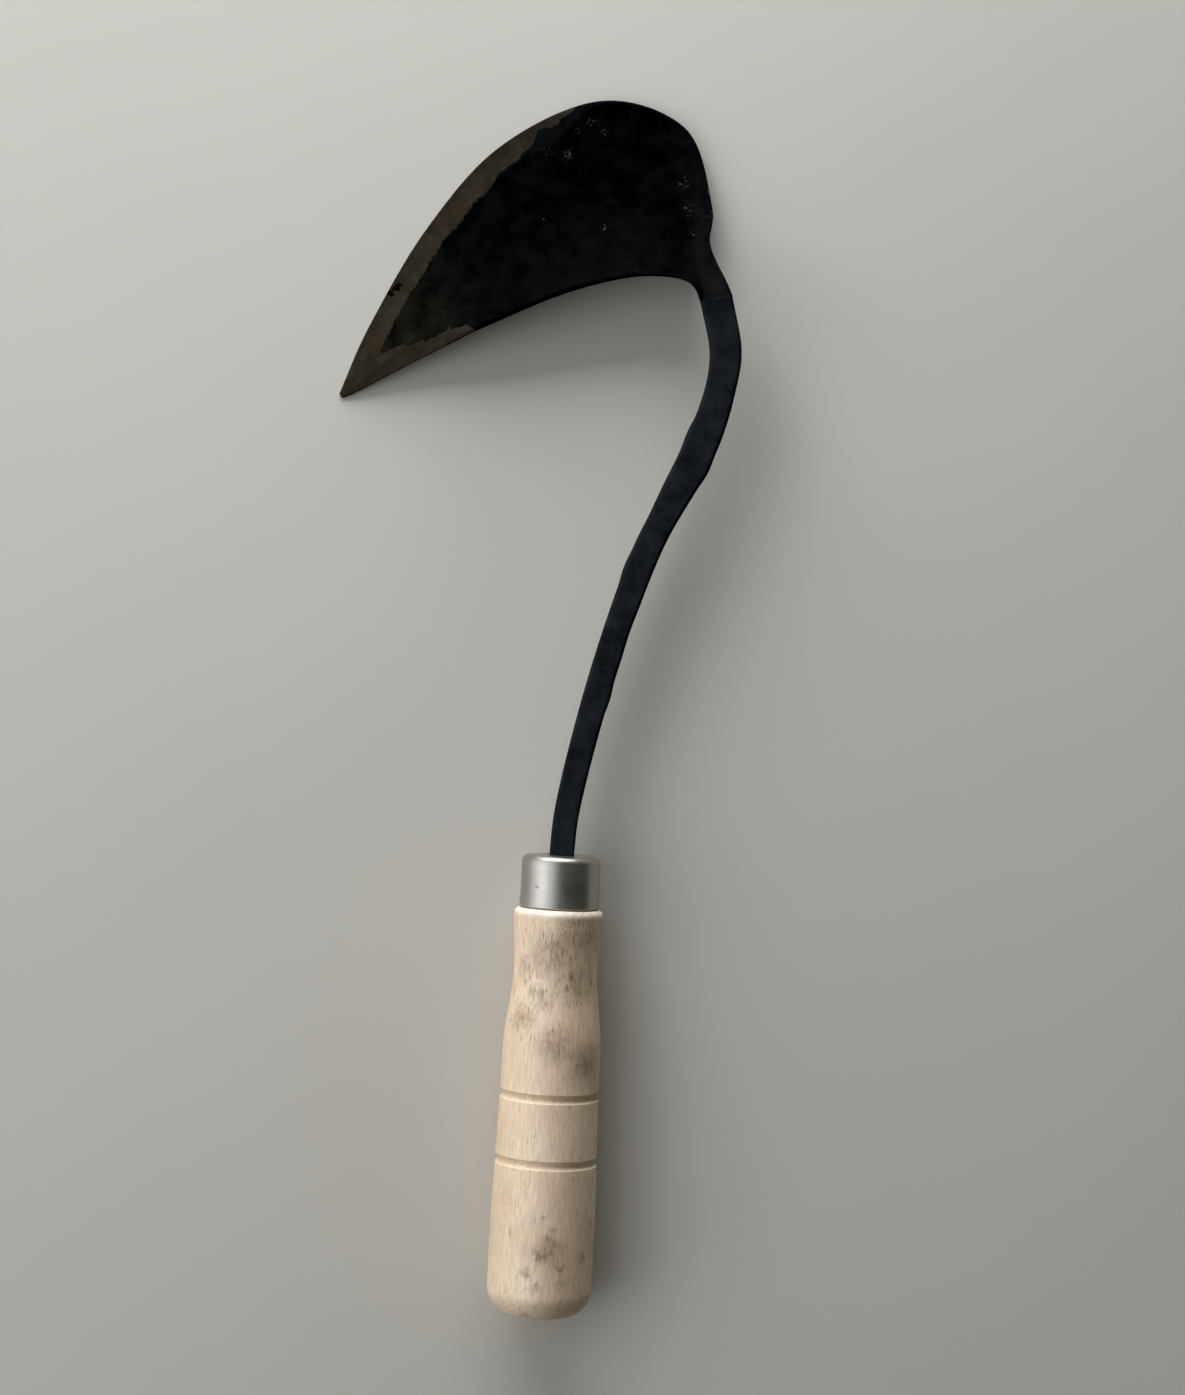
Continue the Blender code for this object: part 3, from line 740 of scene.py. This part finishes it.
    # Relief: the scale's grain of 0.5 mm, its thickness where it ends, the wheel's scratches and hammer dents
    grain = add(tree, "TexNoise", {"Vector": place, "Scale": 1 / (0.5 * MM), "Detail": 5.0, "Roughness": 0.6})
    skin = add(tree, "Math", {0: bare, 1: glinted}, operation="MAXIMUM")
    skin = add(tree, "Math", {0: 1.0, 1: skin}, operation="SUBTRACT")
    surface = add(tree, "Mix", {0: bare, 2: grain, 3: scratches})
    normal = add(tree, "Bump", {"Height": surface, "Strength": 0.35, "Distance": 0.06 * MM})
    for height, strength, depth_mm in ((skin, 0.5, 0.05), (mottle, 0.4, 0.25)):
        normal = add(tree, "Bump", {"Height": height, "Strength": strength, "Distance": depth_mm * MM,
                                    "Normal": normal})
    tree.links.new(normal, shader.inputs["Normal"])
    return material


# A small ding in the ferrule, in mm: where its parts are on the piece, and their radii
DING_MM = [((6.5, -49.9, 23.0), 0.55), ((7.1, -50.2, 23.2), 0.6), ((7.8, -50.5, 23.4), 0.5)]


def brushed_stainless(settings):
    """Drawn stainless steel cap, brushed on the lathe: fine rings round it and a satin shine."""
    material, tree, shader = new_material("drawn stainless steel, lathe-brushed")
    place = add(tree, "TexCoord", {}, "Object")
    # Rings 0.14 mm apart, coarser than real ones so that they show, that run 30 mm before they fade
    ring_run = add(tree, "Mapping", {"Vector": place,
                                     "Scale": (1 / (30 * MM), 1 / (0.14 * MM), 1 / (30 * MM))})
    rings = add(tree, "TexNoise", {"Vector": ring_run, "Scale": 1.0, "Detail": 3.0, "Roughness": 0.7})
    smear = add(tree, "TexNoise", {"Vector": place, "Scale": 1 / (4 * MM), "Detail": 4.0})
    tone = add(tree, "MapRange", {"Value": rings, **NOISE_SPAN, "To Min": 0.90, "To Max": 1.06})
    ding = spots(tree, place, DING_MM, 0.8)
    tone = add(tree, "Math", {0: ding, 1: -0.6, 2: tone}, operation="MULTIPLY_ADD")
    colour = add(tree, "VectorMath", {0: settings.metal_colour[:3], "Scale": tone}, operation="SCALE")
    tree.links.new(colour, shader.inputs["Base Color"])
    shader.inputs["Metallic"].default_value = 1.0
    rough = add(tree, "MapRange", {"Value": smear, **NOISE_SPAN, "To Min": 0.33, "To Max": 0.43})
    tree.links.new(rough, shader.inputs["Roughness"])
    shader.inputs["Anisotropic"].default_value = 0.3
    fine = add(tree, "Bump", {"Height": rings, "Strength": 0.12, "Distance": 0.02 * MM})
    tree.links.new(fine, shader.inputs["Normal"])
    return material


# Grime on the handle, in mm: where each patch is on the piece, and its radius
SMUDGE_MM = [((15.3, -144.5, 28.6), 2.4), ((13.4, -148.6, 28.6), 3.0), ((16.8, -142.2, 28.4), 1.8),
             ((9.8, -153.6, 28.0), 2.6), ((19.0, -152.6, 27.8), 2.4), ((19.2, -156.6, 27.6), 2.4),
             ((12.6, -157.4, 28.4), 2.6), ((14.0, -139.0, 28.6), 1.7), ((9.8, -164.6, 25.0), 2.6),
             ((24.5, -150.0, 23.0), 2.6), ((26.5, -141.0, 19.5), 1.8), ((27.0, -148.0, 17.0), 1.6)]
GRIME_MM = [((20.0, -61.0, 24.5), 12.5), ((13.0, -68.0, 26.0), 12.0), ((18.0, -76.0, 23.5), 10.0),
            ((6.0, -86.0, 23.5), 7.0), ((14.6, -92.0, 27.0), 8.0), ((22.0, -98.0, 23.0), 9.0),
            ((16.0, -148.0, 28.0), 7.0), ((7.0, -72.0, 22.0), 6.0), ((10.0, -80.0, 26.0), 7.0)]


def bare_wood(settings):
    """Pale hardwood, turned and sanded and left without varnish, greyed by handling.

    Its grain runs lengthwise as soft bands with short dark pores, and dirt sits in patches and in the pores.
    """
    material, tree, shader = new_material("pale hardwood, turned and bare")
    place = add(tree, "TexCoord", {}, "Object")
    centred = add(tree, "Mapping", {"Vector": place, "Location": -AXIS})

    # Soft bands of late wood, 2 pi times 3.2 mm or 20 mm apart, bent by slow waves along the grain
    slow_run = add(tree, "Mapping", {"Vector": centred, "Scale": (1 / (9 * MM), 1 / (45 * MM), 1 / (9 * MM))})
    slow = add(tree, "TexNoise", {"Vector": slow_run, "Scale": 1.0, "Detail": 2.0}, "Color")
    slow = add(tree, "VectorMath", {0: slow, "Scale": 7 * MM}, operation="SCALE")
    bent = add(tree, "VectorMath", {0: centred, 1: slow}, operation="ADD")
    bands = add(tree, "TexWave", {"Vector": bent, "Scale": 1 / (20 * 3.2 * MM), "Distortion": 0.6,
                                  "Detail": 2.0, "Detail Scale": 2.0}, "Fac", wave_type="BANDS",
                bands_direction="X", wave_profile="SIN")
    # Fibres 0.5 mm wide and 6 mm long, pores 0.4 mm wide and 3 mm long, and blots of dirt 2 mm by 3 mm
    fibre_run = add(tree, "Mapping", {"Vector": bent,
                                      "Scale": (1 / (0.5 * MM), 1 / (6 * MM), 1 / (0.5 * MM))})
    fibres = add(tree, "TexNoise", {"Vector": fibre_run, "Scale": 1.0, "Detail": 4.0, "Roughness": 0.6})
    pore_run = add(tree, "Mapping", {"Vector": bent,
                                     "Scale": (1 / (0.42 * MM), 1 / (3.2 * MM), 1 / (0.42 * MM))})
    pores = add(tree, "TexNoise", {"Vector": pore_run, "Scale": 1.0, "Detail": 1.5})
    blot_run = add(tree, "Mapping", {"Vector": centred,
                                     "Scale": (1 / (1.8 * MM), 1 / (3 * MM), 1 / (1.8 * MM))})
    blots = add(tree, "TexNoise", {"Vector": blot_run, "Scale": 1.0, "Detail": 4.0, "Roughness": 0.6})

    clouds = add(tree, "TexNoise", {"Vector": centred, "Scale": 1 / (14 * MM), "Detail": 3.0})
    pink = add(tree, "MapRange", {"Value": clouds, "From Min": 0.35, "From Max": 0.65})
    late = add(tree, "Math", {0: bands, 1: 0.35}, operation="MULTIPLY")
    wood = coated(tree, settings.wood_colour, [(pink, settings.pink_colour),
                                               (late, settings.late_wood_colour)])
    tone = add(tree, "MapRange", {"Value": fibres, **NOISE_SPAN, "To Min": 0.80, "To Max": 1.14})
    wood = add(tree, "VectorMath", {0: wood, "Scale": tone}, operation="SCALE")

    # Grime darkens the pores, more where the hand has been, and lies in blots and smudges
    grimy = spots(tree, place, GRIME_MM, 0.9)
    pore_need = add(tree, "MapRange", {"Value": grimy, "To Min": 0.66, "To Max": 0.56})
    pore_over = add(tree, "Math", {0: pores, 1: pore_need}, operation="SUBTRACT")
    pore_dirt = add(tree, "MapRange", {"Value": pore_over, "From Max": 0.07, "To Max": 0.55})
    blotted = add(tree, "MapRange", {"Value": blots, "From Min": 0.40, "From Max": 0.66, "To Min": 0.26,
                                     "To Max": 0.64})
    grime = add(tree, "Math", {0: grimy, 1: blotted}, operation="MULTIPLY")
    ragged = add(tree, "TexNoise", {"Vector": blot_run, "Scale": 1.3, "Detail": 2.0}, "Color")
    smudge = spots(tree, strayed(tree, place, ragged, 4.0 * MM), SMUDGE_MM, 0.9)
    smudge = add(tree, "Math", {0: smudge, 1: blotted}, operation="MULTIPLY")

    # The lip under the ferrule is frayed pale
    along = add(tree, "SeparateXYZ", {0: place}, "Y")
    lip = add(tree, "MapRange", {"Value": along, "From Min": SHOULDER - 2.4 * MM,
                                 "From Max": SHOULDER - 0.8 * MM})
    frayed = add(tree, "MapRange", {"Value": blots, "From Min": 0.40, "From Max": 0.60, "To Min": 0.25,
                                    "To Max": 0.9})
    frayed = add(tree, "Math", {0: lip, 1: frayed}, operation="MULTIPLY")
    wood = coated(tree, wood, [(pore_dirt, settings.pore_colour), (grime, settings.grime_colour),
                               (smudge, settings.smudge_colour), (frayed, settings.frayed_colour)])
    tree.links.new(wood, shader.inputs["Base Color"])
    rough = add(tree, "MapRange", {"Value": fibres, **NOISE_SPAN, "To Min": 0.62, "To Max": 0.78})
    tree.links.new(rough, shader.inputs["Roughness"])
    shader.inputs["IOR"].default_value = 1.45

    raised = add(tree, "Bump", {"Height": fibres, "Strength": 0.5, "Distance": 0.10 * MM})
    pitted = add(tree, "Bump", {"Height": pore_dirt, "Strength": 0.5, "Distance": 0.10 * MM,
                                "Normal": raised}, invert=True)
    lumpy = add(tree, "Bump", {"Height": blots, "Strength": 0.35, "Distance": 0.15 * MM, "Normal": pitted})
    tree.links.new(lumpy, shader.inputs["Normal"])
    return material


def honed_stone(settings):
    """Plain pale stone with a honed, dull surface, faintly clouded."""
    material, tree, shader = new_material("pale stone, honed")
    place = add(tree, "TexCoord", {}, "Object")
    cloud = add(tree, "TexNoise", {"Vector": place, "Scale": 1 / (120 * MM), "Detail": 3.0})
    tone = add(tree, "MapRange", {"Value": cloud, **NOISE_SPAN, "To Min": 0.985, "To Max": 1.015})
    colour = add(tree, "VectorMath", {0: settings.floor_colour[:3], "Scale": tone}, operation="SCALE")
    tree.links.new(colour, shader.inputs["Base Color"])
    shader.inputs["Roughness"].default_value = 0.6
    return material


# ---------------------------------------------------------------------------------------------------------
# Settings, operators and panel


class HeadSettings(bpy.types.PropertyGroup):
    scale_colour: colour_property("Scale", "Forge scale near the blade's rim", "#101111")
    # Darker scale deep in the dish: painted shade
    dish_shade_colour: colour_property("Dish shade", "Forge scale deep in the blade's dish", "#0B0C0B")
    # Paler near the point as painted light, browner as the scale's own tint
    point_tint_and_light_colour: colour_property("Paler point scale", "Forge scale near the point", "#1B1913")
    neck_colour: colour_property("Neck scale", "Blue-black scale on the neck", "#212425")
    # Pale specks on the scale and the bright line at the ground edge: painted glints
    glint_colour: colour_property("Glint", "Painted glints on the scale and along the edge", "#444648")
    steel_colour: colour_property("Ground steel", "Bare steel at the ground edge", "#302B23")
    tarnish_colour: colour_property("Tarnish", "Dulled bare steel", "#27221B")
    stain_colour: colour_property("Stain", "Brown staining on bare steel", "#33261C")
    rust_colour: colour_property("Rust", "Rust that has eaten in", "#100805")


class FerruleSettings(bpy.types.PropertyGroup):
    metal_colour: colour_property("Metal", "Stainless steel", "#B2ADA5")


class HandleSettings(bpy.types.PropertyGroup):
    wood_colour: colour_property("Wood", "Sanded wood", "#EBD6B8")
    pink_colour: colour_property("Warm wood", "Warmer bands of the wood", "#E2C8AA")
    late_wood_colour: colour_property("Late wood", "Darker growth rings", "#BF9D7A")
    pore_colour: colour_property("Pores", "Dirt in the pores", "#6A5943")
    grime_colour: colour_property("Grime", "Handling grime", "#77644C")
    frayed_colour: colour_property("Frayed lip", "Raised pale fibres under the ferrule", "#EDE3D3")
    smudge_colour: colour_property("Smudge", "Grey smudges near the butt", "#70685A")


class StageSettings(bpy.types.PropertyGroup):
    floor_colour: colour_property("Floor", "Pale stone under the hoe", "#BDB8AD")
    window_colour: colour_property("Window", "Daylight from the window", "#F4F8FF")
    window_power: bpy.props.FloatProperty(name="Window power", description="Strength of the window's light",
                                          default=21.5, min=0.0, unit="POWER")
    window_distance: bpy.props.FloatProperty(name="Window distance", description="From the hoe to the window",
                                             default=0.85, min=0.3, unit="LENGTH")
    window_size: bpy.props.FloatProperty(name="Window size", description="Width of the far window",
                                         default=0.8, min=0.1, unit="LENGTH")
    camera_height: bpy.props.FloatProperty(name="Camera height", description="Camera above the surface",
                                           default=0.771, min=0.3, unit="LENGTH")


class HOE_OT_forged_head(bpy.types.Operator):
    """Make the forged blade, neck and tang"""
    bl_idname = "hoe.forged_head"
    bl_label = "Forged head"

    def execute(self, context):
        new_piece("forged_blade_and_neck", head_mesh(), forged_steel(context.scene.hoe_head),
                  "forged_head")
        return {"FINISHED"}


class HOE_OT_ferrule(bpy.types.Operator):
    """Make the drawn ferrule"""
    bl_idname = "hoe.ferrule"
    bl_label = "Ferrule"

    def execute(self, context):
        new_piece("drawn_ferrule", ferrule_mesh(), brushed_stainless(context.scene.hoe_ferrule),
                  "ferrule")
        return {"FINISHED"}


class HOE_OT_handle(bpy.types.Operator):
    """Make the turned handle"""
    bl_idname = "hoe.handle"
    bl_label = "Handle"

    def execute(self, context):
        new_piece("turned_handle", handle_mesh(), bare_wood(context.scene.hoe_handle), "handle")
        return {"FINISHED"}


def add_light(name, kind, colour, power, place, target):
    """Hang a light at a place, aimed at a target."""
    data = bpy.data.lights.new(name, kind)
    data.color = colour[:3]
    data.energy = power
    light = bpy.data.objects.new(name, data)
    light.location = place
    light.rotation_euler = (target - place).to_track_quat("-Z", "Y").to_euler()
    bpy.context.scene.collection.objects.link(light)
    return data


# Each window's turn from the left towards the blade and its climb in degrees, its share of power and of width
WINDOWS = [("far window", 80, 13, 0.80, 1.0), ("left window", -8, 18, 0.19, 1.4),
           ("left skylight", -8, 48, 0.09, 1.0)]
FLOOR_HALF = 3.0
FLOOR_GAP = 0.05 * MM
# The room is paler towards the left: the way there, how squarely a ray faces it as the light changes, and the
# strength of the light away from it and towards it
ROOM_COLOUR = "#F2F4F5"
PALE_SIDE = (-0.88, 0.05, 0.47)
PALE_FROM, PALE_TO = 0.3, 0.75
ROOM_LIGHT, PALE_LIGHT = 0.07, 0.34
BLACK_LEVEL = 0.004
# The camera looks straight down at a place beyond the butt, turned a little; its lens is in mm
CAMERA_ASIDE, CAMERA_BEYOND_BUTT = 6.12 * MM, 168.74 * MM
CAMERA_TURN = 3.01
CAMERA_LENS = 71.484
CAMERA_NEAR, CAMERA_FAR = 0.01, 20.0


class HOE_OT_stage(bpy.types.Operator):
    """Make the pale surface, the window light, the room and the camera"""
    bl_idname = "hoe.stage"
    bl_label = "Stage"

    def execute(self, context):
        settings = context.scene.hoe_stage
        bm = bmesh.new()
        bmesh.ops.create_grid(bm, x_segments=1, y_segments=1, size=FLOOR_HALF)
        mesh = bpy.data.meshes.new("floor")
        bm.to_mesh(mesh)
        bm.free()
        mesh.materials.append(honed_stone(settings))
        floor = bpy.data.objects.new("floor", mesh)
        floor.location = (0, 0, HEAD_LOW.z - FLOOR_GAP)
        context.scene.collection.objects.link(floor)

        # A near, low window beyond the blade gives the long soft shadows; two weaker ones light the left side
        for name, turn, climb, power, width in WINDOWS:
            turn, climb = radians(turn), radians(climb)
            towards = Vector((-cos(turn) * cos(climb), sin(turn) * cos(climb), sin(climb)))
            window = add_light(name, "AREA", settings.window_colour, power * settings.window_power,
                               towards * settings.window_distance, Vector((0, 0, 0)))
            window.shape = "SQUARE"
            window.size = width * settings.window_size

        # The room: dim overhead and to the right, paler on the left
        world = bpy.data.worlds.new("room")
        world.use_nodes = True
        tree = world.node_tree
        direction = add(tree, "TexCoord", {}, "Generated")
        facing = add(tree, "VectorMath", {0: direction, 1: PALE_SIDE}, "Value", operation="DOT_PRODUCT")
        strength = add(tree, "MapRange", {"Value": facing, "From Min": PALE_FROM, "From Max": PALE_TO,
                                          "To Min": ROOM_LIGHT, "To Max": PALE_LIGHT},
                       interpolation_type="SMOOTHSTEP")
        background = tree.nodes["Background"]
        background.inputs["Color"].default_value = linear(ROOM_COLOUR)
        tree.links.new(strength, background.inputs["Strength"])
        context.scene.world = world
        view = context.scene.view_settings
        view.view_transform = "Standard"
        view.use_curve_mapping = True
        view.curve_mapping.black_level = (BLACK_LEVEL,) * 3

        data = bpy.data.cameras.new("camera")
        data.lens = CAMERA_LENS
        data.clip_start, data.clip_end = CAMERA_NEAR, CAMERA_FAR
        camera = bpy.data.objects.new("camera", data)
        camera.location = (AXIS.x + CAMERA_ASIDE, BUTT + CAMERA_BEYOND_BUTT, settings.camera_height)
        camera.rotation_euler = (0, 0, radians(CAMERA_TURN))
        context.scene.collection.objects.link(camera)
        context.scene.camera = camera
        return {"FINISHED"}


class HOE_PT_panel(bpy.types.Panel):
    """Lists the pieces and their colours"""
    bl_idname = "HOE_PT_panel"
    bl_label = "Hand Hoe"
    bl_space_type = "VIEW_3D"
    bl_region_type = "UI"
    bl_category = "Hand Hoe"

    def draw(self, context):
        for group, operator in PIECES:
            box = self.layout.box()
            box.operator(operator)
            settings = getattr(context.scene, group)
            for name in settings.__annotations__:
                box.prop(settings, name)


PIECES = [("hoe_head", "hoe.forged_head"), ("hoe_ferrule", "hoe.ferrule"), ("hoe_handle", "hoe.handle"),
          ("hoe_stage", "hoe.stage")]
GROUPS = {"hoe_head": HeadSettings, "hoe_ferrule": FerruleSettings, "hoe_handle": HandleSettings,
          "hoe_stage": StageSettings}
CLASSES = [HeadSettings, FerruleSettings, HandleSettings, StageSettings, HOE_OT_forged_head, HOE_OT_ferrule,
           HOE_OT_handle, HOE_OT_stage, HOE_PT_panel]


def register():
    """Add the settings, operators and panel to Blender."""
    for cls in CLASSES:
        bpy.utils.register_class(cls)
    for name, group in GROUPS.items():
        setattr(bpy.types.Scene, name, bpy.props.PointerProperty(type=group))


def unregister():
    """Take them out again."""
    for name in GROUPS:
        delattr(bpy.types.Scene, name)
    for cls in reversed(CLASSES):
        bpy.utils.unregister_class(cls)


def main():
    """Make every piece and the stage."""
    register()
    bpy.ops.hoe.forged_head()
    bpy.ops.hoe.ferrule()
    bpy.ops.hoe.handle()
    bpy.ops.hoe.stage()


if __name__ == "__main__":
    main()
